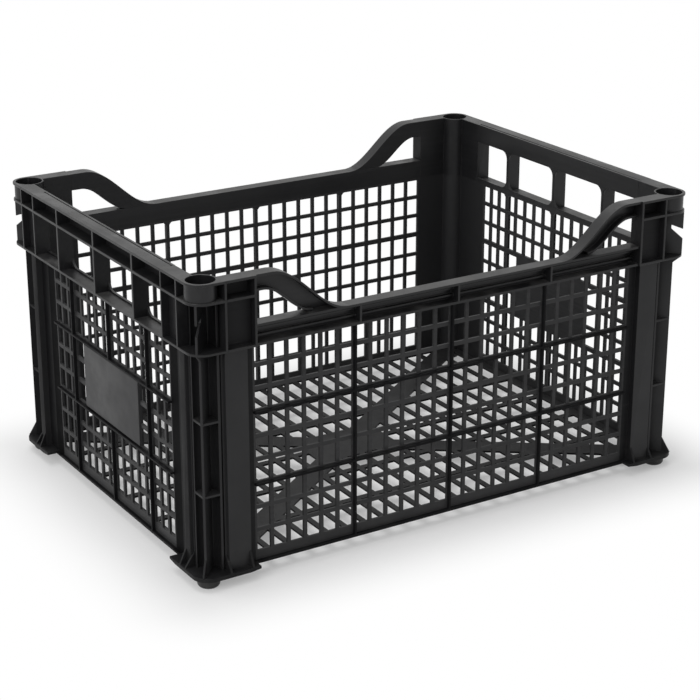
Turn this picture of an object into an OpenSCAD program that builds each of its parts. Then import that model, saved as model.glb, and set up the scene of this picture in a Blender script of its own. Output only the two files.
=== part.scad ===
// Ventilated stacking harvest tub, moulded in black plastic.
// X runs along the long walls, Y across, Z up; the feet stand on Z = 0.
// Every section of the moulding is a solid of its own and meets its neighbours face to face.
// Walls are drawn in (along, inset, height): inset counts inwards from the outer footprint.

/* [Overall] */
// Outer length along X
crate_l = 550; // [480:1:640]
// Outer width along Y
crate_w = 400; // [360:1:480]
// Height from the feet to the rim
crate_h = 290; // [270:1:340]

/* [Walls] */
// Thickness of the wall plates
wall_t = 2.5; // [2:0.1:3.5]
// Distance from the footprint to the outer face of the lattice
wall_in = 13.5; // [12.5:0.5:16]
// Stand-off of the outer stiffening ribs
rib_proud = 3.5; // [2:0.5:5]
// Thickness of the stiffening ribs
rib_t = 2.2; // [1.6:0.1:3.5]
// Place of the lower stiffening rib, as a share of the perforated height
rib_low_share = 0.335; // [0.28:0.005:0.38]
// Place of the upper stiffening rib, as a share of the perforated height
rib_high_share = 0.675; // [0.62:0.005:0.72]
// Height of the closed strip at the foot of each wall
bottom_rail_h = 9; // [6:0.5:14]
// Clearance of walls and floor above the underside of the corner bases
wall_lift = 1.5; // [0.5:0.1:3]

/* [Lattice] */
// Width of the upright strips
strip_w = 3.8; // [2:0.1:5]
// Height of the level strips between the rows
strip_h = 3.9; // [2:0.1:5]
// Width of the upright strips in the end walls
end_strip_w = 3.6; // [2:0.1:6]
// Height of the level strips in the end walls
end_strip_h = 3.9; // [2:0.1:5]
// Closed edge beside the outer holes of a long wall
long_edge_w = 1.6; // [0.5:0.1:4]
// Closed edge beside the outer holes of an end wall
end_edge_w = 12; // [0.5:0.5:14]
// Height of the level bands that carry the ribs
band_h = 5; // [3:0.1:6]
// Bays along a long wall
long_bays = 4; // [2:1:6]
// Columns of holes in each long bay
long_cols = 6; // [3:1:9]
// Rows of holes between two level ribs
bay_rows = 3; // [2:1:4]
// Width of a middle bay of an end wall, also of its hand window
mid_bay_w = 82; // [70:1:88]
// Columns of holes in a middle end bay
mid_cols = 5; // [3:1:7]
// Columns of holes in a side end bay
side_cols = 3; // [2:1:5]
// Chamfer in the top corner of the holes beside a rib
web_chamfer = 5; // [2:0.5:7]

/* [Corners] */
// Width of the corner block along both walls
block_w = 33; // [32:0.5:40]
// Radius of the rounded corner, also the place of the socket
corner_r = 16; // [15.5:0.5:17]
// Outer radius of the inward bulging column
column_r = 14.5; // [13.5:0.1:15]
// Wall of the column
column_t = 2.4; // [2:0.1:3.5]
// Inset of the open side of the column
column_in = 10.5; // [9:0.5:12]
// Thickness of the diagonal corner fin
fin_t = 2.2; // [1.6:0.1:3.5]
// Inset of the diagonal fin below the collar
fin_in = 10.5; // [9:0.5:14]
// Height over which the fin runs out to the collar
fin_head_h = 7; // [4:0.5:12]
// Inset of the face of the smooth pilaster
pilaster_in = 7; // [5:0.5:8.5]
// Width of the smooth pilaster on the long walls
pilaster_w = 22.5; // [18:0.5:25]
// Width of the smooth pilaster on the end walls
end_pilaster_w = 10; // [8:0.5:25]
// Width of the closed face of a shoulder
shoulder_face_w = 26.5; // [18:0.5:27]
// Length of the shoulder between corner block and opening
shoulder_w = 29; // [28.5:0.5:36]

/* [Collar and sockets] */
// Height of the corner boxes, from the collar's underside to the rim
collar_h = 65; // [58:1:80]
// Height of the socket band at the rim
socket_h = 17; // [14:0.5:22]
// Diameter of the stacking sockets
socket_d = 26; // [23:0.1:26.2]
// Thickness of the flanges
flange_t = 2.4; // [1.8:0.1:4]
// Height of the lower flank of the hook notch in the corner fin
notch_h = 10; // [6:0.5:14]
// Depth of the hook notch
notch_d = 11.5; // [6:0.5:13]
// Height of the notch at its inner end
notch_neck = 4; // [2:0.5:6]
// Rise of the hook above its tip
notch_rise = 3.5; // [1:0.5:6]
// Distance from the rim of the socket band to the tip of the hook
notch_drop = 20; // [14:0.5:24]

/* [Long rails and handles] */
// Height of the long top rail
rail_h = 20; // [16:0.5:26]
// Inset of the rail's outer edge
rail_in = 2; // [1:0.5:5]
// Stand-off of the two ridges on the rail
ridge_proud = 4; // [2:0.5:7]
// Height of a ridge on the rail
ridge_h = 2; // [1.5:0.1:3]
// Height of the hand opening above the rail
grip_h = 28; // [20:0.5:34]
// Distance from the shoulder to the bend of the handle's upper edge
bend_top_s = 16; // [8:0.5:24]
// Length of the sweep of the upper edge
sweep_top = 78; // [60:1:95]
// Distance from the shoulder to the bend of the handle's lower edge
bend_low_s = 10; // [4:0.5:16]
// Length of the sweep of the lower edge
sweep_low = 50; // [36:1:60]
// Inset of the lower grip lip
lip_in = 7; // [4:0.5:10]

/* [End windows] */
// Thickness of the window posts
pier_t = 3.2; // [2:0.1:5]
// Radius in the corners of the windows
window_r = 9; // [4:0.5:12]
// Height of the closed strip between window sill and lattice
sill_t = 4; // [3:0.1:6]

/* [Floor] */
// Thickness of the floor
floor_t = 2.2; // [2:0.1:4]
// Distance between the floor slots along X
slot_spacing = 21; // [18:0.5:26]
// Width of a floor slot
slot_w = 15; // [9:0.2:16]
// Rows of slots across the floor
slot_rows = 6; // [4:2:8]
// Width of the bars between the rows
bar_w = 7; // [4:0.5:12]
// Closed margin of the floor along the walls
floor_margin = 6; // [4:0.5:14]
// Width of the diagonal flow leaders
leader_w = 24; // [12:1:34]
// Length of the closed centre of the floor
centre_l = 94; // [60:1:130]
// Width of the closed centre of the floor
centre_w = 62; // [40:1:90]
// Diameter of the gate boss at the centre
gate_d = 14; // [8:0.5:20]
// Depth of the gate boss below the floor
gate_drop = 1.2; // [0.5:0.1:1.4]

/* [Bases and feet] */
// Height of the feet
foot_h = 10; // [7:0.5:14]
// Diameter of the feet
foot_d = 21; // [16:0.5:22]
// Rounding of the foot's lower edge
foot_r = 4; // [1:0.5:5]
// Fillet where the foot meets the base plate
neck_r = 2; // [1:0.1:2.5]
// Thickness of the base plates
base_t = 4; // [3:0.1:6]
// Height of the flare above the base plate
flare_h = 15; // [10:0.5:24]
// Length of the ramped end of a base plate
base_end_l = 11; // [6:0.5:14]

/* [Blank plate] */
// Thickness of the plate on the end walls
plate_t = 1.8; // [1.2:0.1:2.4]
// Columns of holes that the plate closes on each side of the middle
plate_cols = 4; // [2:1:5]
// Width by which the holes beside the plate reach under its closed stretch
plate_slit = 7; // [1:0.5:9]
// Gap between the plate and the level ribs
plate_edge = 1.5; // [0.5:0.1:4]

/* [Hidden] */
// Overrun of every cut
over = 1;
// Width of the groove along the end rims
groove_w = 1.4;
// Depth of the groove along the end rims
groove_depth = 0.8;
// Straight steps along a swept edge
edge_steps = 28;
// Diagonal of a square, as a share of its side
diagonal_share = sqrt(2);
$fn = 64;

half_l = crate_l / 2;
half_w = crate_w / 2;
inner_in = wall_in + wall_t;
rib_in = wall_in - rib_proud;
wall_z = foot_h + wall_lift;
base_top = foot_h + base_t;
collar_z = crate_h - collar_h;
socket_z = crate_h - socket_h;
rail_top = collar_z + rail_h;
open_s = block_w + shoulder_w;
lattice_l = crate_l - 2 * open_s;
lattice_w = crate_w - 2 * open_s;
side_bay_w = lattice_w / 2 - mid_bay_w;
row_low_z = wall_z + bottom_rail_h;
rib_low_z = row_low_z + rib_low_share * (collar_z - row_low_z);
rib_high_z = row_low_z + rib_high_share * (collar_z - row_low_z);
row_levels = [row_low_z, rib_low_z, rib_high_z, collar_z];
long_widths = [for (i = [1 : long_bays]) lattice_l / long_bays];
long_counts = [for (i = [1 : long_bays]) long_cols];
end_widths = [side_bay_w, mid_bay_w, mid_bay_w, side_bay_w];
end_counts = [side_cols, mid_cols, mid_cols, side_cols];
grip_top = rail_top + grip_h;
plate_half = plate_cols * mid_bay_w / mid_cols;
plate_reach = plate_half + end_strip_w / 2 - plate_slit;

black = [0.09, 0.09, 0.095];
charcoal = [0.12, 0.12, 0.125];
slate = [0.2, 0.2, 0.205];

// Running total of the first n entries of a list
function run_sum(list, n) = n <= 0 ? 0 : list[n - 1] + run_sum(list, n - 1);

// Smooth step from 0 to 1 with level ends
function sweep_share(t) = (1 - cos(180 * min(max(t, 0), 1))) / 2;

// Places a long wall's section: +1 is the back wall, -1 the front wall
module on_long(sy) {
    rotate([0, 0, sy > 0 ? 180 : 0])
        children();
}

// Places an end wall's section: +1 is the right end, -1 the left end
module on_end(sx) {
    rotate([0, 0, sx > 0 ? 90 : -90])
        children();
}

// Places a corner drawn at the front left, with its outer corner at the origin
module on_corner(sx, sy) {
    mirror([sx > 0 ? 1 : 0, 0, 0])
        mirror([0, sy > 0 ? 1 : 0, 0])
            translate([-half_l, -half_w, 0])
                children();
}

// Swaps the two sides of a corner
module swap_sides() {
    mirror([1, -1, 0])
        children();
}

// Upright slab from an outline in (along, height) between two insets of a wall at half depth h
module slab(h, from, to) {
    translate([0, to - h, 0])
        rotate([90, 0, 0])
            linear_extrude(to - from)
                children();
}

// Bar from a section in (inset, height), run along a wall from a to b
module bar(h, a, b) {
    translate([a, -h, 0])
        rotate([90, 0, 90])
            linear_extrude(b - a)
                children();
}

// Rectangle from one corner to the opposite one
module rect(x0, y0, x1, y1) {
    translate([x0, y0])
        square([x1 - x0, y1 - y0]);
}

// Holes of one bay between two levels; sw and sh are the strips between the holes
module bay_holes(x0, w, n, z0, z1, sw, sh) {
    pitch = w / n;
    hole_h = (z1 - z0 - band_h - (bay_rows - 1) * sh) / bay_rows;
    for (i = [0 : n - 1], j = [0 : bay_rows - 1])
        translate([x0 + i * pitch + sw / 2, z0 + band_h / 2 + j * (hole_h + sh)])
            square([pitch - sw, hole_h]);
}

// Small web in the top corner beside each rib
module corner_webs(widths) {
    for (i = [1 : len(widths) - 1], side = [-1, 1])
        translate([run_sum(widths, i) - run_sum(widths, len(widths)) / 2, collar_z])
            polygon([[0, 0], [side * (strip_w / 2 + web_chamfer), 0],
                     [0, -band_h / 2 - web_chamfer]]);
}

// Perforated plate of one wall with a closed edge at both ends
module lattice_outline(widths, counts, sw, sh, edge) {
    span = run_sum(widths, len(widths));
    last = len(widths) - 1;
    difference() {
        rect(-span / 2, wall_z, span / 2, collar_z);
        for (b = [0 : last], k = [0 : len(row_levels) - 2])
            bay_holes(run_sum(widths, b) - span / 2 + (b == 0 ? edge : 0),
                      widths[b] - (b == 0 || b == last ? edge : 0), counts[b],
                      row_levels[k], row_levels[k + 1], sw, sh);
    }
    corner_webs(widths);
}

// Closed stretch behind a blank plate, with a slit left beside it
module plate_backing() {
    rect(-plate_reach, rib_low_z, plate_reach, rib_high_z);
}

// Slits beside a blank plate, between the level strips
module plate_slits() {
    for (side = [0, 1])
        mirror([side, 0])
            bay_holes(plate_reach - end_strip_w / 2, plate_slit + end_strip_w, 1,
                      rib_low_z, rib_high_z, end_strip_w, end_strip_h);
}

// Outer ribs of one wall: uprights between the bays, two level ribs and the foot rail
module wall_ribs(h, widths, closed_half, edge) {
    span = run_sum(widths, len(widths));
    for (i = [1 : len(widths) - 1])
        let (s = run_sum(widths, i) - span / 2)
            bar(h, s - rib_t / 2, s + rib_t / 2)
                difference() {
                    rect(rib_in, wall_z, wall_in, collar_z);
                    if (abs(s) < closed_half)
                        rect(rib_in - over, rib_low_z, wall_in, rib_high_z);
                }
    bar(h, edge - span / 2, span / 2 - edge)
        for (z = [rib_low_z, rib_high_z])
            rect(rib_in, z - rib_t / 2, wall_in, z + rib_t / 2);
    bar(h, -span / 2, span / 2)
        rect(rib_in, wall_z, wall_in, wall_z + wall_t);
}

// Hollow pilaster of width w at both ends of a wall, with the smooth face outside
module pilasters(h, span, w) {
    for (side = [0, 1])
        mirror([side, 0, 0])
            translate([span / 2, 0, 0])
                difference() {
                    union() {
                        slab(h, pilaster_in, inner_in)
                            rect(shoulder_w - w, base_top, shoulder_w, collar_z);
                        slab(h, wall_in, inner_in)
                            rect(-strip_w / 2, base_top, shoulder_w, collar_z);
                    }
                    slab(h, pilaster_in + wall_t, wall_in)
                        rect(shoulder_w - w + wall_t, base_top - over,
                             shoulder_w - wall_t, collar_z - flange_t);
                }
}

module long_lattice(sy) {
    color(charcoal)
        on_long(sy) {
            slab(half_w, wall_in, inner_in)
                lattice_outline(long_widths, long_counts, strip_w, strip_h, long_edge_w);
            wall_ribs(half_w, long_widths, 0, long_edge_w);
            pilasters(half_w, lattice_l, pilaster_w);
        }
}

module end_lattice(sx) {
    color(charcoal)
        on_end(sx) {
            slab(half_l, wall_in, inner_in) {
                difference() {
                    lattice_outline(end_widths, end_counts, end_strip_w, end_strip_h, end_edge_w);
                    plate_slits();
                }
                plate_backing();
            }
            wall_ribs(half_l, end_widths, plate_half, end_edge_w);
            pilasters(half_l, lattice_w, end_pilaster_w);
        }
}

// Bare plate for a label, on the outside of the closed bays
module blank_plate(sx) {
    color(slate)
        on_end(sx)
            slab(half_l, wall_in - plate_t, wall_in)
                rect(plate_edge / 2 - plate_reach, rib_low_z + rib_t / 2 + plate_edge,
                     plate_reach - plate_edge / 2, rib_high_z - rib_t / 2 - plate_edge);
}

// Channel along the top of a long wall
module long_rail(sy) {
    color(black)
        on_long(sy) {
            bar(half_w, -lattice_l / 2, lattice_l / 2) {
                rect(wall_in, collar_z, inner_in, rail_top);
                rect(rail_in, collar_z, inner_in, collar_z + flange_t);
                rect(rail_in, rail_top - flange_t, inner_in, rail_top);
                for (k = [1, 2])
                    translate([wall_in - ridge_proud, collar_z + k * rail_h / 3 - ridge_h / 2])
                        square([ridge_proud + wall_t, ridge_h]);
            }
            for (i = [1 : long_bays - 1])
                bar(half_w, run_sum(long_widths, i) - lattice_l / 2 - rib_t / 2,
                    run_sum(long_widths, i) - lattice_l / 2 + rib_t / 2)
                    rect(rail_in, collar_z, inner_in, rail_top);
        }
}

// Height of the handle's upper and lower edge at a distance from the shoulder
function handle_top(s) = crate_h - (crate_h - rail_top) * sweep_share((s - bend_top_s) / sweep_top);
function handle_low(s) = grip_top - grip_h * sweep_share((s - bend_low_s) / sweep_low);

// Points along the two edges, lowered or raised by the thickness of a flange
function top_edge(drop) = [for (i = [0 : edge_steps])
    let (s = (bend_top_s + sweep_top) * i / edge_steps) [s, handle_top(s) - drop]];
function low_edge(rise) = [for (i = [0 : edge_steps])
    let (s = (bend_low_s + sweep_low) * i / edge_steps) [s, handle_low(s) + rise]];
function reversed(list) = [for (i = [len(list) - 1 : -1 : 0]) list[i]];

// Face of a handle, cut to the strip between two rows of points
module handle_strip(upper, lower) {
    intersection() {
        polygon(concat(top_edge(0), reversed(low_edge(0))));
        polygon(concat(upper, reversed(lower)));
    }
}

// Swept hand hold beside a shoulder: plate, top flange and grip lip
module handle(sx, sy) {
    color(black)
        mirror([sx > 0 ? 1 : 0, 0, 0])
            mirror([0, sy > 0 ? 1 : 0, 0])
                translate([-lattice_l / 2, 0, 0]) {
                    slab(half_w, wall_in, inner_in)
                        handle_strip(top_edge(0), low_edge(0));
                    slab(half_w, rail_in, inner_in)
                        handle_strip(top_edge(0), top_edge(flange_t));
                    slab(half_w, lip_in, inner_in)
                        handle_strip(low_edge(flange_t), low_edge(0));
                }
}

// Section of a shoulder: three flanges and the inner wall
module shoulder_section() {
    rect(wall_in, collar_z, inner_in, crate_h);
    rect(0, collar_z, inner_in, collar_z + flange_t);
    rect(0, socket_z - flange_t, inner_in, socket_z);
    rect(0, crate_h - flange_t, inner_in, crate_h);
}

// Shoulder drawn along X from the corner block to the opening
module shoulder_solid() {
    bar(0, block_w, open_s)
        shoulder_section();
    bar(0, block_w, block_w + shoulder_face_w)
        rect(pilaster_in, collar_z, pilaster_in + wall_t, socket_z);
    bar(0, block_w + shoulder_face_w - wall_t, block_w + shoulder_face_w)
        rect(pilaster_in, collar_z, inner_in, socket_z);
    bar(0, open_s - rib_t, open_s)
        rect(0, collar_z, inner_in, crate_h);
}

module shoulder(sx, sy) {
    color(black)
        on_corner(sx, sy)
            shoulder_solid();
}

module end_shoulder(sx, sy) {
    color(black)
        on_corner(sx, sy)
            swap_sides()
                shoulder_solid();
}

// Places of the uprights between the hand windows
function pier_places() = [for (i = [1 : 3]) run_sum(end_widths, i) - lattice_w / 2];

// Rim above the hand windows
module end_rim(sx) {
    color(black)
        on_end(sx)
            difference() {
                union() {
                    bar(half_l, -lattice_w / 2, lattice_w / 2) {
                        rect(wall_in, socket_z - flange_t, inner_in, crate_h);
                        rect(0, socket_z - flange_t, inner_in, socket_z);
                        rect(0, crate_h - flange_t, inner_in, crate_h);
                    }
                    for (s = pier_places())
                        bar(half_l, s - pier_t / 2, s + pier_t / 2)
                            rect(0, socket_z - flange_t, inner_in, crate_h);
                }
                bar(half_l, -lattice_w / 2 - over, lattice_w / 2 + over)
                    rect(wall_in - groove_w, crate_h - groove_depth, wall_in, crate_h + over);
            }
}

// Deep sill below the hand windows
module end_sill(sx) {
    color(black)
        on_end(sx) {
            bar(half_l, -lattice_w / 2, lattice_w / 2) {
                rect(0, collar_z, inner_in, collar_z + flange_t);
                rect(wall_in, collar_z, inner_in, collar_z + sill_t);
            }
        }
}

// Outline of one window post with rounded window corners
module pier_outline(z0, z1) {
    rect(-pier_t / 2, z0, pier_t / 2, z1);
    for (side = [0, 1], top = [0, 1])
        mirror([side, 0])
            translate([pier_t / 2, top == 1 ? z1 : z0])
                mirror([0, top])
                    difference() {
                        square(window_r);
                        translate([window_r, window_r])
                            circle(window_r);
                    }
}

// Three uprights between the four hand windows of an end
module window_posts(sx) {
    color(black)
        on_end(sx)
            for (s = pier_places())
                translate([s, 0, 0]) {
                    slab(half_l, wall_in, inner_in)
                        pier_outline(collar_z + sill_t, socket_z - flange_t);
                    slab(half_l, 0, wall_in)
                        rect(-pier_t / 2, collar_z + flange_t, pier_t / 2, socket_z - flange_t);
                }
}

// Square with the outer corner rounded
module corner_outline(size, radius) {
    difference() {
        square(size);
        difference() {
            translate([-over, -over])
                square(radius + over);
            translate([radius, radius])
                circle(radius);
        }
    }
}

// Ring of the column, open towards the outside
module column_ring() {
    intersection() {
        translate([corner_r, corner_r])
            difference() {
                circle(column_r);
                circle(column_r - column_t);
            }
        rect(column_in, column_in, corner_r + column_r + over, corner_r + column_r + over);
    }
}

// Inside of the column, where webs and fin reach
module column_core() {
    translate([corner_r, corner_r])
        circle(column_r - column_t / 2);
}

// Walls that tie the column to both neighbouring walls
module column_ties(from) {
    for (k = [0, 1])
        mirror([k, -k])
            difference() {
                union() {
                    rect(block_w - rib_t, from, block_w, inner_in);
                    rect(corner_r, wall_in, block_w, inner_in);
                }
                translate([corner_r, corner_r])
                    circle(column_r - column_t);
            }
}

// Diagonal fin from an inset to the back of the column
module fin_outline(from) {
    intersection() {
        rotate(45)
            rect(from * diagonal_share, -fin_t / 2,
                 (corner_r + column_r) * diagonal_share, fin_t / 2);
        union() {
            column_core();
            rect(from, from, corner_r, corner_r);
        }
    }
}

// Level webs in the open side of the column
module column_webs() {
    for (z = [rib_low_z, rib_high_z])
        translate([0, 0, z - rib_t / 2])
            linear_extrude(rib_t)
                intersection() {
                    column_core();
                    rect(column_in, column_in, corner_r + column_r, corner_r + column_r);
                }
}

module post(sx, sy) {
    color(charcoal)
        on_corner(sx, sy) {
            translate([0, 0, base_top])
                linear_extrude(collar_z - base_top) {
                    column_ring();
                    column_ties(column_in);
                    fin_outline(fin_in);
                }
            column_webs();
            fin_wedge(collar_z, -fin_head_h);
        }
}

// Triangle that runs the fin out to the footprint at a level, rising or falling by h
module fin_wedge(z, h) {
    tip = (diagonal_share - 1) * corner_r;
    root = fin_in * diagonal_share;
    translate([0, 0, z])
        rotate([90, 0, 45])
            translate([0, 0, -fin_t / 2])
                linear_extrude(fin_t)
                    polygon([[tip, 0], [root, 0], [root, h]]);
}

// Everything of a corner block inside the rounded footprint, with the column bulge
module block_outline() {
    intersection() {
        corner_outline(block_w, corner_r);
        union() {
            rect(0, 0, block_w, inner_in);
            rect(0, 0, inner_in, block_w);
            translate([corner_r, corner_r])
                circle(column_r);
        }
    }
}

// Collar below the socket: two flanges, ribs and the notched fin
module collar(sx, sy) {
    color(black)
        on_corner(sx, sy) {
            for (z = [collar_z, socket_z - flange_t])
                translate([0, 0, z])
                    linear_extrude(flange_t)
                        block_outline();
            translate([0, 0, collar_z])
                linear_extrude(socket_z - collar_z)
                    intersection() {
                        block_outline();
                        union() {
                            column_ring();
                            column_ties(0);
                        }
                    }
            difference() {
                translate([0, 0, collar_z])
                    linear_extrude(socket_z - collar_z)
                        intersection() {
                            block_outline();
                            fin_outline(0);
                        }
                fin_notch();
            }
        }
}

// Hook notch with a long lower flank, cut into the corner fin
module fin_notch() {
    tip = corner_r - corner_r / diagonal_share;
    translate([tip, tip, socket_z - notch_drop])
        rotate([0, 0, 45])
            rotate([90, 0, 0])
                translate([0, 0, -fin_t])
                    linear_extrude(2 * fin_t)
                        polygon([[-over, 0], [0, 0], [notch_d, notch_rise],
                                 [notch_d, notch_rise - notch_neck],
                                 [0, -notch_h], [-over, -notch_h]]);
}

// Round socket that takes the foot of the tub above, under a thin rim
module socket(sx, sy) {
    color(black)
        on_corner(sx, sy)
            difference() {
                union() {
                    translate([0, 0, crate_h - flange_t])
                        linear_extrude(flange_t)
                            block_outline();
                    translate([0, 0, socket_z])
                        linear_extrude(socket_h)
                            intersection() {
                                block_outline();
                                union() {
                                    translate([corner_r, corner_r])
                                        circle(column_r);
                                    column_ties(0);
                                }
                            }
                }
                translate([corner_r, corner_r, socket_z - over])
                    cylinder(h = socket_h + 2 * over, d = socket_d);
            }
}

// Rib that runs out from an inset to the footprint at the base, between a and b along the wall
module flare_rib(a, b, inset) {
    bar(0, a, b)
        polygon([[0, base_top], [inset, base_top], [inset, base_top + flare_h]]);
}

// Base plate of one corner with its flared ribs
module base(sx, sy) {
    color(black)
        on_corner(sx, sy) {
            translate([0, 0, foot_h])
                linear_extrude(base_t)
                    block_outline();
            for (k = [0, 1], end = block_w + (k == 0 ? pilaster_w : end_pilaster_w))
                mirror([k, -k, 0]) {
                    slab(0, 0, inner_in)
                        polygon([[block_w, foot_h], [open_s - base_end_l, foot_h], [open_s, wall_z],
                                 [open_s, base_top], [block_w, base_top]]);
                    flare_rib(block_w - rib_t, block_w, column_in);
                    flare_rib(end - rib_t, end, pilaster_in);
                }
            fin_wedge(base_top, flare_h);
        }
}

// Round foot with a rounded lower edge and a filleted neck
module foot(sx, sy) {
    color(black)
        on_corner(sx, sy)
            translate([corner_r, corner_r, 0])
                rotate_extrude() {
                    square([foot_d / 2 - foot_r, foot_h]);
                    translate([0, foot_r])
                        square([foot_d / 2, foot_h - foot_r]);
                    intersection() {
                        translate([foot_d / 2 - foot_r, foot_r])
                            circle(foot_r);
                        square([foot_d / 2, foot_r]);
                    }
                    translate([foot_d / 2, foot_h - neck_r])
                        difference() {
                            square(neck_r);
                            translate([neck_r, 0])
                                circle(neck_r);
                        }
                }
}

// Slots of the floor, in whole columns about the middle
module floor_slots() {
    inside_l = crate_l - 2 * inner_in - 2 * floor_margin;
    inside_w = crate_w - 2 * inner_in - 2 * floor_margin;
    cols = floor((inside_l + slot_spacing - slot_w) / slot_spacing);
    row_h = (inside_w + bar_w) / slot_rows;
    for (i = [0 : cols - 1], j = [0 : slot_rows - 1])
        translate([(i - (cols - 1) / 2) * slot_spacing, (j - (slot_rows - 1) / 2) * row_h])
            square([slot_w, row_h - bar_w], center = true);
}

// Closed centre and the four flow leaders to the corners
module floor_closed() {
    reach = sqrt(pow(half_l, 2) + pow(half_w, 2));
    square([centre_l, centre_w], center = true);
    for (side = [-1, 1])
        rotate(side * atan2(half_w - corner_r, half_l - corner_r))
            square([2 * reach, leader_w], center = true);
}

// Outline of the floor between the walls, clear of the corner columns
module floor_outline() {
    difference() {
        square([crate_l - 2 * inner_in, crate_w - 2 * inner_in], center = true);
        for (sx = [-1, 1], sy = [-1, 1])
            translate([sx * (half_l - corner_r), sy * (half_w - corner_r)])
                circle(column_r);
    }
}

module floor_grid() {
    color(charcoal) {
        translate([0, 0, wall_z])
            linear_extrude(floor_t)
                difference() {
                    floor_outline();
                    difference() {
                        floor_slots();
                        floor_closed();
                    }
                }
        translate([0, 0, wall_z - gate_drop])
            cylinder(h = gate_drop, d = gate_d);
    }
}

floor_grid();
long_lattice(-1);  // front_lattice
long_lattice(1);  // back_lattice
end_lattice(-1);  // left_lattice
end_lattice(1);  // right_lattice
long_rail(-1);  // front_rail
long_rail(1);  // back_rail
handle(-1, -1);  // handle_front_left
handle(1, -1);  // handle_front_right
handle(-1, 1);  // handle_back_left
handle(1, 1);  // handle_back_right
shoulder(-1, -1);  // shoulder_front_left
shoulder(1, -1);  // shoulder_front_right
shoulder(-1, 1);  // shoulder_back_left
shoulder(1, 1);  // shoulder_back_right
end_shoulder(-1, -1);  // end_shoulder_front_left
end_shoulder(1, -1);  // end_shoulder_front_right
end_shoulder(-1, 1);  // end_shoulder_back_left
end_shoulder(1, 1);  // end_shoulder_back_right
end_rim(-1);  // left_rim
end_rim(1);  // right_rim
end_sill(-1);  // left_sill
end_sill(1);  // right_sill
window_posts(-1);  // left_window_posts
window_posts(1);  // right_window_posts
blank_plate(-1);  // left_plate
blank_plate(1);  // right_plate
socket(-1, -1);  // socket_front_left
socket(1, -1);  // socket_front_right
socket(-1, 1);  // socket_back_left
socket(1, 1);  // socket_back_right
collar(-1, -1);  // collar_front_left
collar(1, -1);  // collar_front_right
collar(-1, 1);  // collar_back_left
collar(1, 1);  // collar_back_right
post(-1, -1);  // post_front_left
post(1, -1);  // post_front_right
post(-1, 1);  // post_back_left
post(1, 1);  // post_back_right
base(-1, -1);  // base_front_left
base(1, -1);  // base_front_right
base(-1, 1);  // base_back_left
base(1, 1);  // base_back_right
foot(-1, -1);  // foot_front_left
foot(1, -1);  // foot_front_right
foot(-1, 1);  // foot_back_left
foot(1, 1);  // foot_back_right
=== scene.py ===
"""Looks of a ventilated harvest tub, moulded in black plastic."""

import functools
import math
from typing import NamedTuple

import bmesh
import bpy
from bpy.props import FloatProperty, FloatVectorProperty, IntProperty, PointerProperty
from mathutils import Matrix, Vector
from mathutils.bvhtree import BVHTree


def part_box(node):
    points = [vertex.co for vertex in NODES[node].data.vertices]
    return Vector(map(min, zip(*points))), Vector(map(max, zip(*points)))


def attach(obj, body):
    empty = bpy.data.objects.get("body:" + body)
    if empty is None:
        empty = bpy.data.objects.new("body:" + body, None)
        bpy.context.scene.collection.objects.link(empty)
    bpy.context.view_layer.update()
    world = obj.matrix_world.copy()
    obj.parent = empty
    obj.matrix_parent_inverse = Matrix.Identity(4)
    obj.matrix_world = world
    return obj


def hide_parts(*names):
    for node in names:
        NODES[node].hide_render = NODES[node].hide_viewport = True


bl_info = {
    "name": "Harvest tub",
    "version": (1, 0, 0),
    "blender": (4, 5, 0),
    "location": "View3D > Sidebar > Tub",
    "description": "Rounds the edges of a moulded harvest tub and gives it its plastics",
    "category": "Object",
}

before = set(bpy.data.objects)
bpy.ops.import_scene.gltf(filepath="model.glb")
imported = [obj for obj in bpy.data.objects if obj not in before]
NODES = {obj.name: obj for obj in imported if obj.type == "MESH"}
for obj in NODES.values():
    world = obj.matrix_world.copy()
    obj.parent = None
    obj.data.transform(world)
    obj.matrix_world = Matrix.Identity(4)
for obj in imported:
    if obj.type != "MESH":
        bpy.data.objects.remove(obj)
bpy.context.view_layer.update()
CORNERS = ("front_left", "front_right", "back_left", "back_right")

# Places on the walls where a finish ends, worked out from the boxes of the CAD sections
LONG_LOW, LONG_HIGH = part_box("back_lattice")
END_LOW, END_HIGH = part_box("right_lattice")
RIM_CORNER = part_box("collar_back_right")[1]
LONG_MARGIN = 0.0304  # length at each end of a long wall that has no slots
LONG_STRIP = 0.0081  # width of the strips beside the slots of a long wall that get painted shade
END_MARGIN = 0.0408  # length at each side of an end wall that has no slots
END_STRIP = 0.0148  # width of the strips beside the slots of an end wall that get painted shade
SKIN = 0.0015  # what lies further out than this from the inside of a wall is on its outside
LONG_FIELD = LONG_HIGH[0] - LONG_MARGIN  # half the perforated length of the long walls
LONG_RECESS_TO = LONG_FIELD + LONG_STRIP
LONG_OUTSIDE = LONG_LOW[1] + SKIN
END_FIELD = END_HIGH[1] - END_MARGIN  # half the perforated length of the end walls
END_RECESS_TO = END_FIELD + END_STRIP
END_OUTSIDE = END_LOW[0] + SKIN
END_GAP = 0.003  # from the long walls to where the end walls are taken to begin
END_FROM = LONG_HIGH[0] + END_GAP  # beyond this distance from the middle a point is on an end wall
FOOTPRINT = (RIM_CORNER[0], RIM_CORNER[1], 0.0)  # half the length and width, on the ground

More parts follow.
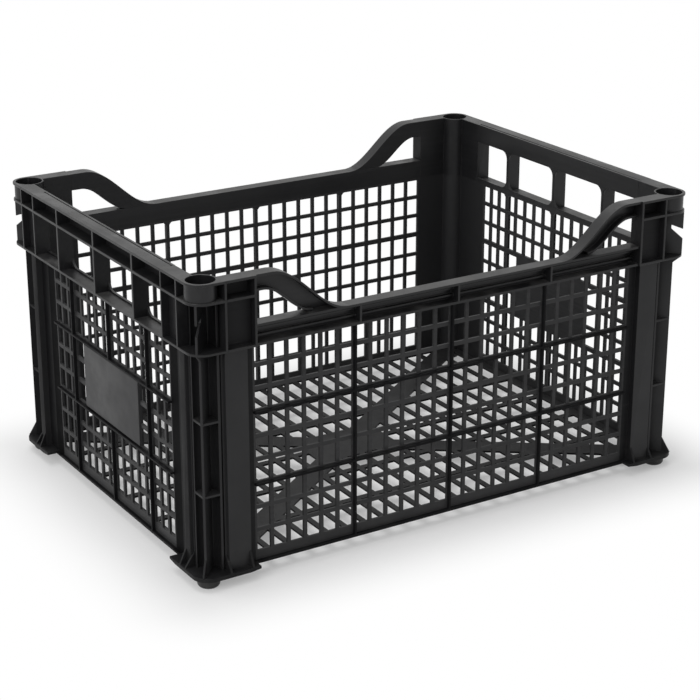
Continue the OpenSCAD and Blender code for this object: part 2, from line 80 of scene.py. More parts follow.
# Limits that pick out edges and faces
WELD = 0.000002  # points of a section this close together are one point
NEAR = 0.0002  # boxes of sections are widened by this to find those that may touch
CUT_TOLERANCE = 0.00001  # points this close to a cut count as on it
RIDGE_EDGE = 0.0008  # faces this close to the outermost one are the edges of ridges
UPRIGHT = 0.3  # the normal of an upright face rises or falls by less than this
LEDGE = 0.3  # the normal of a ledge rises by more than this
INWARD = -0.3  # the outward share of the normal of a face that looks inward is below this
END_FACING = 0.5  # the outward share of the normal of a face that looks out of an end is above this
SIDE_FACING = 0.7  # the normal of a pilaster's side runs along the wall by at least this
X_AXIS = Vector((1, 0, 0))  # along the long walls, out of the ends
Y_AXIS = Vector((0, 1, 0))  # along the end walls, out of the long sides
AXES = range(3)

# Places in a section's list of materials
MAIN_FINISH = 0
SECOND_FINISH = 1
THIRD_FINISH = 2

# Surface of all the plastics
PLASTIC_IOR = 1.49
ROUGHNESS_DRIFT = 0.06  # how far the roughness wanders to either side
DUST_DRYNESS = 0.25  # roughness that full dust adds
GRAIN_STRENGTH = 0.5

# Stage
WHITE = (1, 1, 1, 1)
LAMP_TARGET = (0, 0, 0.14)
KEY_PLACE = (-1.9, -0.9, 1.2)
KEY_SIZE = 1.4
TOP_PLACE = (-0.2, 0.3, 2.2)
TOP_SIZE = 1.8
SHADOW_FROM = -0.02  # the ground turns white between these distances from the footprint
SHADOW_TO = 0.1
LEAST_WHITE = 0.25  # share of plain white where that begins
SENSOR = 36.0  # width of the camera's sensor in millimetres
VIEW_END = 100.0  # the camera sees no further than this


# Sizes and colours that a user would change

class TubEdgeSettings(bpy.types.PropertyGroup):
    """How the edges of the moulding are rounded"""

    radius: FloatProperty(
        name="Edge rounding", description="Width of the rounding along free edges",
        default=0.0004, min=0.0001, max=0.0008, precision=5, unit="LENGTH")
    foot_radius: FloatProperty(
        name="Base rounding", description="Width of the rounding on the base plates and feet",
        default=0.0005, min=0.0001, max=0.001, precision=5, unit="LENGTH")
    segments: IntProperty(
        name="Rounding steps", description="Faces across one rounded edge",
        default=2, min=1, max=4)
    sharp_angle: FloatProperty(
        name="Sharp edge", description="Edges that turn by more than this are rounded",
        default=math.radians(38), min=0.1, max=1.5, subtype="ANGLE")
    smooth_angle: FloatProperty(
        name="Smooth shading", description="Faces that turn by less than this shade as one",
        default=math.radians(20), min=0.05, max=1.0, subtype="ANGLE")
    wall_depth: FloatProperty(
        name="Lattice depth", description="Depth of the lattice, beyond which the ribs stand out",
        default=0.0026, min=0.001, max=0.006, precision=5, unit="LENGTH")
    contact: FloatProperty(
        name="Contact", description="Edges this close to the next section stay as they are",
        default=0.00003, min=0.000001, max=0.0002, precision=6, unit="LENGTH")


class TubFinishSettings(bpy.types.PropertyGroup):
    """Colours and surface of the plastics"""

    wall_colour: FloatVectorProperty(
        name="Walls", description="Colour of the perforated field of the walls",
        default=(0.0135, 0.0135, 0.0141), min=0, max=1, size=3, subtype="COLOR")
    floor_colour: FloatVectorProperty(
        name="Floor", description="Colour of the slotted floor",
        default=(0.0095, 0.0095, 0.0099), min=0, max=1, size=3, subtype="COLOR")
    margin_colour: FloatVectorProperty(
        name="Wall margins", description="Colour of the polished pilasters and columns",
        default=(0.0125, 0.0125, 0.0133), min=0, max=1, size=3, subtype="COLOR")
    frame_colour: FloatVectorProperty(
        name="Frame", description="Colour of rims, rails, corner boxes and bases",
        default=(0.0085, 0.0085, 0.0091), min=0, max=1, size=3, subtype="COLOR")
    # Partly the ribs' own dark colour and partly painted shade: it darkens the ribs for their shade,
    # and also the slot sides, end margins and back column ends
    rib_colour: FloatVectorProperty(
        name="Ribs and painted shade", description="Colour of the polished stiffening ribs",
        default=(0.006, 0.006, 0.0065), min=0, max=1, size=3, subtype="COLOR")
    # Painted shade: the near-black colour of the recessed strips beside the slots of the end walls
    recess_colour: FloatVectorProperty(
        name="Recess shade", description="Colour of the shaded strips beside the slots of the end walls",
        default=(0.004, 0.004, 0.0043), min=0, max=1, size=3, subtype="COLOR")
    plate_colour: FloatVectorProperty(
        name="Plates", description="Colour of the bare plates on the end walls",
        default=(0.0265, 0.0265, 0.0275), min=0, max=1, size=3, subtype="COLOR")
    # The dust colour is partly a painted sheen on faces that look up
    dust_and_sheen_colour: FloatVectorProperty(
        name="Dust and sheen", description="Colour of the dry film left by handling",
        default=(0.075, 0.074, 0.072), min=0, max=1, size=3, subtype="COLOR")
    roughness: FloatProperty(
        name="Roughness", description="Middle roughness of the moulded surface",
        default=0.42, min=0.1, max=1, subtype="FACTOR")
    grain_depth: FloatProperty(
        name="Grain depth", description="Depth of the moulded grain",
        default=0.00006, min=0, max=0.0005, precision=6, unit="LENGTH")


class TubStageSettings(bpy.types.PropertyGroup):
    """Floor, lamps and camera"""

    floor_size: FloatProperty(
        name="Floor", description="Side of the pale floor",
        default=9.0, min=2, max=30, unit="LENGTH")
    floor_colour: FloatVectorProperty(
        name="Floor colour", description="Colour of the pale floor",
        default=(0.9, 0.9, 0.9), min=0, max=1, size=3, subtype="COLOR")
    ambient: FloatProperty(
        name="Ambient", description="Strength of the light from all round",
        default=0.4, min=0, max=2)
    key_power: FloatProperty(
        name="Key lamp", description="Power of the large lamp at the left",
        default=19.0, min=0, max=500, unit="POWER")
    top_power: FloatProperty(
        name="Top lamp", description="Power of the large lamp overhead",
        default=22.0, min=0, max=500, unit="POWER")
    azimuth: FloatProperty(
        name="Camera turn", description="Turn of the camera about the upright axis",
        default=math.radians(-31.85), subtype="ANGLE")
    elevation: FloatProperty(
        name="Camera height", description="Angle of the camera above the floor",
        default=math.radians(20.48), subtype="ANGLE")
    distance: FloatProperty(
        name="Camera distance", description="Distance of the camera from the point it looks at",
        default=1.9641, min=0.2, unit="LENGTH")
    target: FloatVectorProperty(
        name="Camera target", description="Point that the camera looks at",
        default=(0.00488, 0.0, 0.11572), size=3, subtype="TRANSLATION", unit="LENGTH")
    lens: FloatProperty(
        name="Lens", description="Focal length on a 36 mm sensor",
        default=98.67, min=10, max=400)


# Modelling helpers

def alone(piece):
    """Selects one object and makes it the active one."""
    bpy.ops.object.select_all(action="DESELECT")
    piece.select_set(True)
    bpy.context.view_layer.objects.active = piece


def section_copy(node):
    """A copy of one CAD section at the origin, with a mesh of its own and welded faces."""
    source = NODES[node]
    alone(source)
    bpy.ops.object.duplicate()
    piece = bpy.context.view_layer.objects.active
    piece.name = "moulded_" + node
    piece.data.name = piece.name
    piece.parent = None
    for key in [key for key in piece.keys() if key.startswith("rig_")]:
        del piece[key]
    alone(piece)
    bpy.ops.mesh.customdata_custom_splitnormals_clear()
    bpy.ops.object.mode_set(mode="EDIT")
    bpy.ops.mesh.select_all(action="SELECT")
    bpy.ops.mesh.remove_doubles(threshold=WELD)
    bpy.ops.object.mode_set(mode="OBJECT")
    return piece


@functools.lru_cache(maxsize=None)
def section_tree(node):
    """Search tree over the faces of a CAD section, made once."""
    mesh = NODES[node].data
    return BVHTree.FromPolygons([vertex.co for vertex in mesh.vertices],
                                [tuple(face.vertices) for face in mesh.polygons])


def reach(obj, margin):
    """Lowest and highest corner of an object, widened by a margin."""
    points = [Vector(corner) for corner in obj.bound_box]
    low = Vector([min(point[axis] for point in points) - margin for axis in AXES])
    high = Vector([max(point[axis] for point in points) + margin for axis in AXES])
    return low, high


def neighbours(node, margin):
    """Search trees of the CAD sections whose boxes meet that of a section."""
    low, high = reach(NODES[node], margin)
    found = []
    for other, obj in NODES.items():
        other_low, other_high = reach(obj, margin)
        meets = all(low[axis] <= other_high[axis] and other_low[axis] <= high[axis] for axis in AXES)
        if other != node and meets:
            found.append(section_tree(other))
    return found


def select_free_edges(piece, node, settings):
    """Selects the sharp edges that no other section touches, and counts them."""
    trees = neighbours(node, NEAR)
    mesh = bmesh.new()
    mesh.from_mesh(piece.data)
    for item in (*mesh.verts, *mesh.edges, *mesh.faces):
        item.select = False
    count = 0
    for edge in mesh.edges:
        if len(edge.link_faces) != 2 or edge.calc_face_angle(0.0) < settings.sharp_angle:
            continue
        middle = (edge.verts[0].co + edge.verts[1].co) / 2
        if any(tree.find_nearest(middle, settings.contact)[0] is not None for tree in trees):
            continue
        edge.select_set(True)
        count += 1
    mesh.to_mesh(piece.data)
    mesh.free()
    return count


def round_edges(piece, node, settings, radius):
    """Rounds the free edges of a section and shades its curves smooth."""
    bpy.context.tool_settings.mesh_select_mode = (False, True, False)
    if select_free_edges(piece, node, settings):
        alone(piece)
        bpy.ops.object.mode_set(mode="EDIT")
        bpy.ops.mesh.bevel(offset=radius, offset_type="OFFSET", segments=settings.segments,
                           profile=0.5, affect="EDGES", clamp_overlap=False,
                           loop_slide=True, miter_outer="SHARP", miter_inner="SHARP")
        bpy.ops.object.mode_set(mode="OBJECT")
    alone(piece)
    bpy.ops.object.shade_smooth_by_angle(angle=settings.smooth_angle)


def keep_inside(piece, node):
    """Brings points that the rounding pushed past the box of the section back to its faces."""
    low, high = reach(NODES[node], 0.0)
    for vertex in piece.data.vertices:
        vertex.co = [min(max(vertex.co[axis], low[axis]), high[axis]) for axis in AXES]


def moulded(node, radius, finish):
    """Makes the rounded section that stands for a CAD node and gives it its plastic."""
    settings = bpy.context.scene.tub_edges
    piece = section_copy(node)
    round_edges(piece, node, settings, radius)
    keep_inside(piece, node)
    piece.data.materials.clear()
    piece.data.materials.append(finish)
    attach(piece, "root")
    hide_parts(node)
    return piece


# Finishes

def new_group(name, inputs, outputs):
    """An empty shader group with named float sockets."""
    group = bpy.data.node_groups.new(name, "ShaderNodeTree")
    for label, default in inputs:
        socket = group.interface.new_socket(name=label, in_out="INPUT", socket_type="NodeSocketFloat")
        socket.default_value = default
    for label in outputs:
        group.interface.new_socket(name=label, in_out="OUTPUT", socket_type="NodeSocketFloat")
    return group


def add(tree, kind, **values):
    """Adds a node and sets its plain properties."""
    node = tree.nodes.new(kind)
    for key, value in values.items():
        setattr(node, key, value)
    return node


def math_node(tree, operation, first, second=None, clamp=False):
    """Adds a math node on one or two values, which are sockets or numbers."""
    node = add(tree, "ShaderNodeMath", operation=operation, use_clamp=clamp)
    for socket, value in zip(node.inputs, (first, second)):
        if value is None:
            continue
        if hasattr(value, "is_linked"):
            tree.links.new(value, socket)
        else:
            socket.default_value = value
    return node.outputs[0]


def noise(tree, vector, scale, detail, roughness=0.5):
    """Adds a noise texture on a vector; scale is a socket or a number."""
    node = add(tree, "ShaderNodeTexNoise", noise_dimensions="3D")
    tree.links.new(vector, node.inputs["Vector"])
    if hasattr(scale, "is_linked"):
        tree.links.new(scale, node.inputs["Scale"])
    else:
        node.inputs["Scale"].default_value = scale
    node.inputs["Detail"].default_value = detail
    node.inputs["Roughness"].default_value = roughness
    return node.outputs["Fac"]


def ramp(tree, value, low, high):
    """Maps a value between two limits to 0..1, smoothly."""
    node = add(tree, "ShaderNodeMapRange", interpolation_type="SMOOTHSTEP")
    tree.links.new(value, node.inputs["Value"])
    node.inputs["From Min"].default_value = low
    node.inputs["From Max"].default_value = high
    return node.outputs["Result"]


def grain_group():
    """Moulded grain: a fine height and a slow roughness drift."""
    fine_share = 0.6
    coarse_share = 0.4
    coarse_scale = 0.21  # beside the scale of the fine grain
    tree = new_group("Moulded grain", [("Grain scale", 1500.0), ("Drift scale", 26.0)],
                     ["Height", "Drift"])
    inside = add(tree, "NodeGroupInput")
    outside = add(tree, "NodeGroupOutput")
    place = add(tree, "ShaderNodeTexCoord").outputs["Object"]
    fine = noise(tree, place, inside.outputs["Grain scale"], detail=3.0, roughness=0.6)
    coarser = math_node(tree, "MULTIPLY", inside.outputs["Grain scale"], coarse_scale)
    coarse = noise(tree, place, coarser, detail=2.0)
    height = math_node(tree, "ADD", math_node(tree, "MULTIPLY", fine, fine_share),
                       math_node(tree, "MULTIPLY", coarse, coarse_share))
    drift = noise(tree, place, inside.outputs["Drift scale"], detail=4.0, roughness=0.55)
    tree.links.new(height, outside.inputs["Height"])
    tree.links.new(ramp(tree, drift, low=0.3, high=0.7), outside.inputs["Drift"])
    return tree


def flow_group():
    """Flow marks of the melt: soft streaks that run level along the walls and rims."""
    lengthwise = 4.0  # how often the streaks change along a wall, through it and up it
    crosswise = 320.0
    upward = 260.0
    turn_width = 0.011  # over this distance the streaks of the long walls become those of the ends
    cloud_share = 0.5
    whole_share = 0.66
    tree = new_group("Flow marks", [("Streaks", 1.0)], ["Shade"])
    inside = add(tree, "NodeGroupInput")
    outside = add(tree, "NodeGroupOutput")
    place = add(tree, "ShaderNodeTexCoord").outputs["Object"]
    streaks = []
    for squeeze in ((lengthwise, crosswise, upward), (crosswise, lengthwise, upward)):
        mapping = add(tree, "ShaderNodeMapping")
        tree.links.new(place, mapping.inputs["Vector"])
        mapping.inputs["Scale"].default_value = squeeze
        streaks.append(noise(tree, mapping.outputs["Vector"], scale=1.0, detail=2.0))
    spot = add(tree, "ShaderNodeSeparateXYZ")
    tree.links.new(place, spot.inputs[0])
    from_middle = math_node(tree, "ABSOLUTE", spot.outputs["X"])
    mixed = add(tree, "ShaderNodeMix", data_type="FLOAT")
    tree.links.new(ramp(tree, from_middle, low=END_FROM, high=END_FROM + turn_width),
                   mixed.inputs["Factor"])
    tree.links.new(streaks[0], mixed.inputs["A"])
    tree.links.new(streaks[1], mixed.inputs["B"])
    marks = math_node(tree, "MULTIPLY", ramp(tree, mixed.outputs["Result"], low=0.35, high=0.75),
                      inside.outputs["Streaks"])
    clouds = math_node(tree, "MULTIPLY", noise(tree, place, scale=11.0, detail=3.0), cloud_share)
    shade = math_node(tree, "ADD", marks, clouds)
    tree.links.new(math_node(tree, "MULTIPLY", shade, whole_share, clamp=True), outside.inputs["Shade"])
    return tree


def dust_and_sheen_group():
    """Dry film of handling, partly a painted sheen: on faces that look up, thicker towards the ground,
    with scuffs.
    """
    low_to = 0.06  # height up to which the film lies on upright faces too
    scuff_turn = (0.3, 0.5, 0.9)
    scuff_squeeze = (30.0, 420.0, 420.0)  # long and thin, aslant to the walls
    tree = new_group("Handling dust", [("Amount", 0.5), ("Scuffs", 0.5)], ["Mask"])
    inside = add(tree, "NodeGroupInput")
    outside = add(tree, "NodeGroupOutput")
    place = add(tree, "ShaderNodeTexCoord").outputs["Object"]
    facing = add(tree, "ShaderNodeSeparateXYZ")
    tree.links.new(add(tree, "ShaderNodeNewGeometry").outputs["Normal"], facing.inputs[0])
    level = add(tree, "ShaderNodeSeparateXYZ")
    tree.links.new(place, level.inputs[0])
    upward = ramp(tree, facing.outputs["Z"], low=0.75, high=1.0)
    low = math_node(tree, "SUBTRACT", 1.0, ramp(tree, level.outputs["Z"], low=0.0, high=low_to))
    cloudy = noise(tree, place, scale=42.0, detail=5.0, roughness=0.62)
    patches = ramp(tree, cloudy, low=0.36, high=0.72)
    film = math_node(tree, "MULTIPLY", math_node(tree, "MAXIMUM", upward, low), patches)
    film = math_node(tree, "MULTIPLY", film, inside.outputs["Amount"])
    turned = add(tree, "ShaderNodeMapping")
    tree.links.new(place, turned.inputs["Vector"])
    turned.inputs["Rotation"].default_value = scuff_turn
    turned.inputs["Scale"].default_value = scuff_squeeze
    lines = noise(tree, turned.outputs["Vector"], scale=1.0, detail=2.0)
    scratch = ramp(tree, lines, low=0.69, high=0.78)
    scuffs = math_node(tree, "MULTIPLY", scratch, inside.outputs["Scuffs"])
    tree.links.new(math_node(tree, "ADD", film, scuffs, clamp=True), outside.inputs["Mask"])
    return tree


def margin_mask(tree):
    """Mask of the smooth margins of the walls, beside the perforated field."""
    place = add(tree, "ShaderNodeSeparateXYZ")
    tree.links.new(add(tree, "ShaderNodeTexCoord").outputs["Object"], place.inputs[0])
    along = math_node(tree, "ABSOLUTE", place.outputs["X"])
    across = math_node(tree, "ABSOLUTE", place.outputs["Y"])
    mask = add(tree, "ShaderNodeMix", data_type="FLOAT")
    tree.links.new(math_node(tree, "GREATER_THAN", along, END_FROM), mask.inputs["Factor"])
    tree.links.new(math_node(tree, "GREATER_THAN", along, LONG_FIELD), mask.inputs["A"])
    tree.links.new(math_node(tree, "GREATER_THAN", across, END_FIELD), mask.inputs["B"])
    return mask.outputs["Result"]


def blend_colour(tree, mask, below, colour):
    """Lays a plain colour over a colour socket where a mask is 1."""
    node = add(tree, "ShaderNodeMix", data_type="RGBA")
    tree.links.new(mask, node.inputs["Factor"])
    tree.links.new(below, node.inputs["A"])
    node.inputs["B"].default_value = (*colour, 1)
    return node.outputs["Result"]


class Plastic(NamedTuple):
    """What sets one plastic of the tub apart."""

    name: str
    colour: str  # the setting that holds its colour
    lift: float  # how many times lighter its flow marks are
    rougher: float  # what it adds to the middle roughness
    specular: float
    grain: float  # scale of its grain
    streaks: float
    dust: float
    scuffs: float
    drift: float = 26.0  # scale of its slow roughness drift
    margin: str = ""  # the setting that holds the colour of its margins, where it has them


PLASTICS = {
    "wall": Plastic("Lattice plastic", "wall_colour", lift=1.9, rougher=0.13, specular=0.3,
                    grain=1500.0, streaks=1.0, dust=0.2, scuffs=0.05, margin="margin_colour"),
    # Dark finish of the ribs, partly painted shade, which also paints shade on slot sides, end margins
    # and column ends
    "rib": Plastic("Rib plastic", "rib_colour", lift=1.4, rougher=0.0, specular=0.05,
                   grain=1300.0, streaks=0.8, dust=0.1, scuffs=0.1),
    # Painted shade for the recessed strips of the end walls
    "recess": Plastic("Recess plastic", "recess_colour", lift=1.3, rougher=0.1, specular=0.015,
                      grain=1500.0, streaks=0.8, dust=0.1, scuffs=0.0),
    # Its strong dust on faces that look up is partly a painted sheen on the tops of rims and rails
    "frame": Plastic("Frame plastic", "frame_colour", lift=1.5, rougher=-0.05, specular=0.3,
                     grain=1300.0, streaks=1.0, dust=0.8, scuffs=0.1),
    # Finish of the bases, and a duller copy of the frame plastic that paints shade on recessed strips
    # and cells
    "base": Plastic("Base plastic", "frame_colour", lift=1.4, rougher=0.1, specular=0.12,
                    grain=1300.0, streaks=0.8, dust=0.15, scuffs=0.2),
    "plate": Plastic("Plate plastic", "plate_colour", lift=1.18, rougher=0.08, specular=0.3,
                     grain=2200.0, streaks=0.4, dust=0.1, scuffs=0.12, drift=40.0),
    "floor": Plastic("Floor plastic", "floor_colour", lift=1.4, rougher=0.2, specular=0.3,
                     grain=1100.0, streaks=0.5, dust=0.12, scuffs=0.1),
}


def make_plastic(look, groups):
    """Makes the material of one plastic, with its grain, flow marks and dust, which on faces that look
    up is partly a painted sheen.
    """
    finish = bpy.context.scene.tub_finish
    colour = getattr(finish, look.colour)
    roughness = finish.roughness + look.rougher
    material = bpy.data.materials.new(look.name)
    material.use_nodes = True
    tree = material.node_tree
    shader = tree.nodes["Principled BSDF"]
    shader.inputs["Specular IOR Level"].default_value = look.specular
    shader.inputs["IOR"].default_value = PLASTIC_IOR
    grain = add(tree, "ShaderNodeGroup", node_tree=groups["grain"])
    grain.inputs["Grain scale"].default_value = look.grain
    grain.inputs["Drift scale"].default_value = look.drift
    flow = add(tree, "ShaderNodeGroup", node_tree=groups["flow"])
    flow.inputs["Streaks"].default_value = look.streaks
    dust = add(tree, "ShaderNodeGroup", node_tree=groups["dust"])
    dust.inputs["Amount"].default_value = look.dust
    dust.inputs["Scuffs"].default_value = look.scuffs
    tint = add(tree, "ShaderNodeMix", data_type="RGBA")
    tree.links.new(flow.outputs["Shade"], tint.inputs["Factor"])
    tint.inputs["A"].default_value = (*colour, 1)
    tint.inputs["B"].default_value = (*[channel * look.lift for channel in colour], 1)
    shade = tint.outputs["Result"]
    if look.margin:
        shade = blend_colour(tree, margin_mask(tree), shade, getattr(finish, look.margin))
    # dust, and on faces that look up partly a painted sheen
    shade = blend_colour(tree, dust.outputs["Mask"], shade, finish.dust_and_sheen_colour)
    tree.links.new(shade, shader.inputs["Base Color"])
    rough = add(tree, "ShaderNodeMapRange")
    tree.links.new(grain.outputs["Drift"], rough.inputs["Value"])
    rough.inputs["To Min"].default_value = roughness - ROUGHNESS_DRIFT
    rough.inputs["To Max"].default_value = roughness + ROUGHNESS_DRIFT
    dry = math_node(tree, "MULTIPLY", dust.outputs["Mask"], DUST_DRYNESS)
    tree.links.new(math_node(tree, "ADD", rough.outputs["Result"], dry, clamp=True),
                   shader.inputs["Roughness"])
    bump = add(tree, "ShaderNodeBump")
    bump.inputs["Strength"].default_value = GRAIN_STRENGTH
    bump.inputs["Distance"].default_value = finish.grain_depth
    tree.links.new(grain.outputs["Height"], bump.inputs["Height"])
    tree.links.new(bump.outputs["Normal"], shader.inputs["Normal"])


def plastics():
    """The plastics of the tub, made once and found by name after that."""
    if PLASTICS["wall"].name not in bpy.data.materials:
        groups = {"grain": grain_group(), "flow": flow_group(), "dust": dust_and_sheen_group()}
        for look in PLASTICS.values():
            make_plastic(look, groups)
    return {key: bpy.data.materials[look.name] for key, look in PLASTICS.items()}


# Finishes of single faces, most of them painted shade

def cut_upright(wall, along, places):
    """Cuts the faces of a wall at both sides of its middle, so that a finish can end there."""
    alone(wall)
    bpy.ops.object.mode_set(mode="EDIT")
    for place in places:
        for side in (-1, 1):
            bpy.ops.mesh.select_all(action="SELECT")
            bpy.ops.mesh.bisect(plane_co=along * place * side, plane_no=along, threshold=CUT_TOLERANCE)
    bpy.ops.object.mode_set(mode="OBJECT")


def finish_and_shade_margins(wall, along, field, recess_to, outside, recess):
    """Gives the ribs, the recesses beside the field and the end margins finishes of their own: painted
    shade on the recesses and end margins, and on the ribs a dark finish that is partly painted shade.
    """
    across = Vector((along.y, along.x, 0))
    inside = min(abs(vertex.co.dot(across)) for vertex in wall.data.vertices)
    rib_from = inside + bpy.context.scene.tub_edges.wall_depth
    on_end = along == Y_AXIS
    wall.data.materials.append(plastics()["rib"])
    wall.data.materials.append(recess)
    for face in wall.data.polygons:
        from_middle = abs(face.center.dot(along))
        out = abs(face.center.dot(across))
        if from_middle < field:
            # the ribs get the dark rib finish, partly painted shade
            face.material_index = SECOND_FINISH if out > rib_from else MAIN_FINISH
        # painted shade on the recessed strips beside the field
        elif out > outside and from_middle < recess_to:
            face.material_index = THIRD_FINISH
        # painted shade on the outer faces of the end margins
        elif out > outside and on_end and abs(face.normal.dot(along)) < SIDE_FACING:
            face.material_index = SECOND_FINISH


def paint_shade_in_recesses(piece, across, finish, least_up=-1.0):
    """Paints shade on the faces that lie between the outer ridges of a section, below its top, with a
    duller finish.

    Only faces whose normal points up by more than least_up count, and none that look inward."""
    outermost = max(abs(vertex.co.dot(across)) for vertex in piece.data.vertices)
    top = max(vertex.co.z for vertex in piece.data.vertices)
    piece.data.materials.append(finish)
    for face in piece.data.polygons:
        place = face.center.dot(across)
        outward = face.normal.dot(across) * math.copysign(1, place)
        between = abs(place) < outermost - RIDGE_EDGE and face.center.z < top - RIDGE_EDGE
        if between and outward > INWARD and face.normal.z > least_up:
            face.material_index = SECOND_FINISH


def paint_shade_on_end_faces(piece, finish):
    """Paints shade on the faces that look out of the ends of the tub, with a duller finish."""
    piece.data.materials.append(finish)
    for face in piece.data.polygons:
        if face.normal.x * math.copysign(1, face.center.x) > END_FACING:
            face.material_index = SECOND_FINISH


def paint_shade_on_upright_faces(piece, finish):
    """Paints shade on the upright faces of a section, such as the sides of slots, with a duller finish.
    """
    piece.data.materials.append(finish)
    for face in piece.data.polygons:
        if abs(face.normal.z) < UPRIGHT:
            face.material_index = SECOND_FINISH


# Stage helpers

def seen_or_mirrored(tree):
    """1 for rays that the camera, a mirror or glass sends out, 0 for the light on the tub."""
    rays = add(tree, "ShaderNodeLightPath")
    seen = math_node(tree, "MAXIMUM", rays.outputs["Is Camera Ray"], rays.outputs["Is Glossy Ray"])
    return math_node(tree, "MAXIMUM", seen, rays.outputs["Is Transmission Ray"])


def pale_floor(stage):
    """A wide pale floor that keeps a soft shadow and runs out to white."""
    bpy.ops.object.select_all(action="DESELECT")
    bpy.ops.mesh.primitive_plane_add(size=stage.floor_size, location=(0, 0, 0))
    floor = bpy.context.view_layer.objects.active
    floor.name = "pale_floor"
    material = bpy.data.materials.new("Pale floor")
    material.use_nodes = True
    tree = material.node_tree
    tree.nodes.clear()
    out = add(tree, "ShaderNodeOutputMaterial")
    matt = add(tree, "ShaderNodeBsdfDiffuse")
    matt.inputs["Color"].default_value = (*stage.floor_colour, 1)
    white = add(tree, "ShaderNodeEmission")
    white.inputs["Color"].default_value = WHITE
    white.inputs["Strength"].default_value = 1.0
    spot = add(tree, "ShaderNodeTexCoord").outputs["Object"]
    for operation, other in (("ABSOLUTE", None), ("SUBTRACT", FOOTPRINT), ("MAXIMUM", (0, 0, 0)),
                             ("LENGTH", None)):
        step = add(tree, "ShaderNodeVectorMath", operation=operation)
        tree.links.new(spot, step.inputs[0])
        if other:
            step.inputs[1].default_value = other
        spot = step.outputs["Value" if operation == "LENGTH" else "Vector"]
    share = add(tree, "ShaderNodeMapRange", interpolation_type="SMOOTHSTEP")
    tree.links.new(spot, share.inputs["Value"])
    share.inputs["From Min"].default_value = SHADOW_FROM
    share.inputs["From Max"].default_value = SHADOW_TO
    share.inputs["To Min"].default_value = LEAST_WHITE
    share.inputs["To Max"].default_value = 1.0
    blend = add(tree, "ShaderNodeMixShader")
    tree.links.new(math_node(tree, "MULTIPLY", seen_or_mirrored(tree), share.outputs["Result"]),
                   blend.inputs["Fac"])
    tree.links.new(matt.outputs["BSDF"], blend.inputs[1])
    tree.links.new(white.outputs["Emission"], blend.inputs[2])
    tree.links.new(blend.outputs["Shader"], out.inputs["Surface"])
    floor.data.materials.append(material)


def white_world(stage):
    """White where it is seen or mirrored, softer as a light on the tub."""
    world = bpy.data.worlds.new("White studio")
    bpy.context.scene.world = world
    world.use_nodes = True
    tree = world.node_tree
    back = tree.nodes["Background"]
    level = add(tree, "ShaderNodeMapRange")
    tree.links.new(seen_or_mirrored(tree), level.inputs["Value"])
    level.inputs["To Min"].default_value = stage.ambient
    level.inputs["To Max"].default_value = 1.0
    back.inputs["Color"].default_value = WHITE
    tree.links.new(level.outputs["Result"], back.inputs["Strength"])


def soft_lamp(name, place, target, size, power):
    """A square lamp that looks at a point."""
    data = bpy.data.lights.new(name, "AREA")
    data.shape = "SQUARE"
    data.size = size
    data.energy = power
    lamp = bpy.data.objects.new(name, data)
    bpy.context.scene.collection.objects.link(lamp)
    lamp.location = place
    lamp.rotation_euler = (Vector(place) - Vector(target)).to_track_quat("Z", "Y").to_euler()


def photo_camera(stage):
    """The camera at the photograph's angle."""
    data = bpy.data.cameras.new("Photo camera")
    data.sensor_fit = "HORIZONTAL"
    data.sensor_width = SENSOR
    data.lens = stage.lens
    data.clip_end = VIEW_END
    camera = bpy.data.objects.new("Photo camera", data)
    bpy.context.scene.collection.objects.link(camera)
    back = Vector((math.sin(stage.azimuth) * math.cos(stage.elevation),
                   -math.cos(stage.azimuth) * math.cos(stage.elevation),
                   math.sin(stage.elevation)))
    camera.location = Vector(stage.target) + back * stage.distance
    camera.rotation_euler = back.to_track_quat("Z", "Y").to_euler()
    bpy.context.scene.camera = camera


# Operators, one for each group of like sections

class TUB_OT_floor(bpy.types.Operator):
    """Round and finish the slotted floor"""

    bl_idname = "tub.floor"
    bl_label = "Slotted floor"

    def execute(self, context):
        floor = moulded("floor_grid", context.scene.tub_edges.radius, plastics()["floor"])
        # Painted shade on the upright sides of the slots
        paint_shade_on_upright_faces(floor, plastics()["rib"])
        return {"FINISHED"}


class TUB_OT_walls(bpy.types.Operator):
    """Round and finish the four lattice walls"""

    bl_idname = "tub.walls"
    bl_label = "Lattice walls"

    def execute(self, context):
        radius = context.scene.tub_edges.radius
        # Painted shade on the recessed strips, the end margins and partly on the ribs of each wall
        for side in ("front", "back"):
            wall = moulded(side + "_lattice", radius, plastics()["wall"])
            cut_upright(wall, X_AXIS, (LONG_FIELD,))
            finish_and_shade_margins(wall, X_AXIS, LONG_FIELD, LONG_RECESS_TO, LONG_OUTSIDE, plastics()["base"])
        for side in ("left", "right"):
            wall = moulded(side + "_lattice", radius, plastics()["wall"])
            cut_upright(wall, Y_AXIS, (END_FIELD, END_RECESS_TO))
            finish_and_shade_margins(wall, Y_AXIS, END_FIELD, END_RECESS_TO, END_OUTSIDE, plastics()["recess"])
        return {"FINISHED"}


class TUB_OT_hand_holds(bpy.types.Operator):
    """Round and finish the long rails and their swept hand holds"""

    bl_idname = "tub.hand_holds"
    bl_label = "Rails and hand holds"

    def execute(self, context):
        radius = context.scene.tub_edges.radius
        for node in ("front_rail", "back_rail"):
            moulded(node, radius, plastics()["frame"])
        for corner in CORNERS:
            moulded("handle_" + corner, radius, plastics()["frame"])
        return {"FINISHED"}


class TUB_OT_windows(bpy.types.Operator):
    """Round and finish the rims, sills and posts around the hand windows"""

    bl_idname = "tub.windows"
    bl_label = "Hand windows"

    def execute(self, context):
        for end in ("left", "right"):
            for part in ("rim", "sill", "window_posts"):
                piece = moulded(end + "_" + part, context.scene.tub_edges.radius, plastics()["frame"])
                if part == "rim":
                    # Painted shade in the recessed cells of the rim
                    paint_shade_in_recesses(piece, X_AXIS, plastics()["base"])
        return {"FINISHED"}


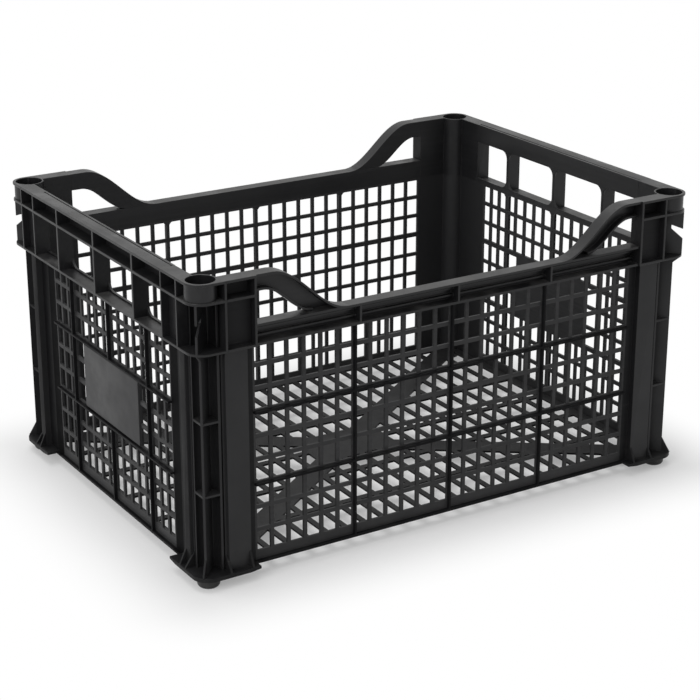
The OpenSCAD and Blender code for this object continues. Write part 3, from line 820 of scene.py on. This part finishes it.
class TUB_OT_corners(bpy.types.Operator):
    """Round and finish the shoulders, sockets, collars and columns of the corners"""

    bl_idname = "tub.corners"
    bl_label = "Corner boxes and columns"

    def execute(self, context):
        radius = context.scene.tub_edges.radius
        for corner in CORNERS:
            for part in ("shoulder_", "end_shoulder_", "socket_", "collar_"):
                piece = moulded(part + corner, radius, plastics()["frame"])
                # Painted shade in the recessed cells of the shoulders, end shoulders and collars
                if part == "shoulder_":
                    paint_shade_in_recesses(piece, Y_AXIS, plastics()["base"])
                elif part in ("end_shoulder_", "collar_"):
                    paint_shade_in_recesses(piece, X_AXIS, plastics()["base"], least_up=LEDGE)
            post = moulded("post_" + corner, radius, plastics()["wall"])
            # Painted shade on the end faces of the back columns, which look darker in the photograph
            if corner.startswith("back"):
                paint_shade_on_end_faces(post, plastics()["rib"])
        return {"FINISHED"}


class TUB_OT_feet(bpy.types.Operator):
    """Round and finish the base plates and feet"""

    bl_idname = "tub.feet"
    bl_label = "Bases and feet"

    def execute(self, context):
        for corner in CORNERS:
            moulded("base_" + corner, context.scene.tub_edges.foot_radius, plastics()["base"])
            moulded("foot_" + corner, context.scene.tub_edges.foot_radius, plastics()["frame"])
        return {"FINISHED"}


class TUB_OT_plates(bpy.types.Operator):
    """Round and finish the bare plates on the end walls"""

    bl_idname = "tub.plates"
    bl_label = "Bare plates"

    def execute(self, context):
        for end in ("left", "right"):
            moulded(end + "_plate", context.scene.tub_edges.radius, plastics()["plate"])
        return {"FINISHED"}


class TUB_OT_stage(bpy.types.Operator):
    """Set up the pale floor, the soft lamps and the camera"""

    bl_idname = "tub.stage"
    bl_label = "Stage"

    def execute(self, context):
        stage = context.scene.tub_stage
        pale_floor(stage)
        white_world(stage)
        soft_lamp("Key lamp", KEY_PLACE, LAMP_TARGET, KEY_SIZE, stage.key_power)
        soft_lamp("Top lamp", TOP_PLACE, LAMP_TARGET, TOP_SIZE, stage.top_power)
        photo_camera(stage)
        context.scene.view_settings.view_transform = "Standard"
        return {"FINISHED"}


class TUB_PT_panel(bpy.types.Panel):
    """Settings and steps of the tub"""

    bl_label = "Harvest tub"
    bl_space_type = "VIEW_3D"
    bl_region_type = "UI"
    bl_category = "Tub"

    def draw(self, context):
        column = self.layout.column()
        for group in (context.scene.tub_edges, context.scene.tub_finish, context.scene.tub_stage):
            for name in group.__annotations__:
                column.prop(group, name)
            column.separator()
        for step in STEPS:
            column.operator(step.bl_idname)


STEPS = (TUB_OT_floor, TUB_OT_walls, TUB_OT_hand_holds, TUB_OT_windows, TUB_OT_corners,
         TUB_OT_feet, TUB_OT_plates, TUB_OT_stage)
CLASSES = (TubEdgeSettings, TubFinishSettings, TubStageSettings, *STEPS, TUB_PT_panel)


def register():
    for item in CLASSES:
        bpy.utils.register_class(item)
    bpy.types.Scene.tub_edges = PointerProperty(type=TubEdgeSettings)
    bpy.types.Scene.tub_finish = PointerProperty(type=TubFinishSettings)
    bpy.types.Scene.tub_stage = PointerProperty(type=TubStageSettings)


def unregister():
    del bpy.types.Scene.tub_stage
    del bpy.types.Scene.tub_finish
    del bpy.types.Scene.tub_edges
    for item in reversed(CLASSES):
        bpy.utils.unregister_class(item)


def main():
    register()
    bpy.ops.tub.floor()
    bpy.ops.tub.walls()
    bpy.ops.tub.hand_holds()
    bpy.ops.tub.windows()
    bpy.ops.tub.corners()
    bpy.ops.tub.feet()
    bpy.ops.tub.plates()
    bpy.ops.tub.stage()


if __name__ == "__main__":
    main()
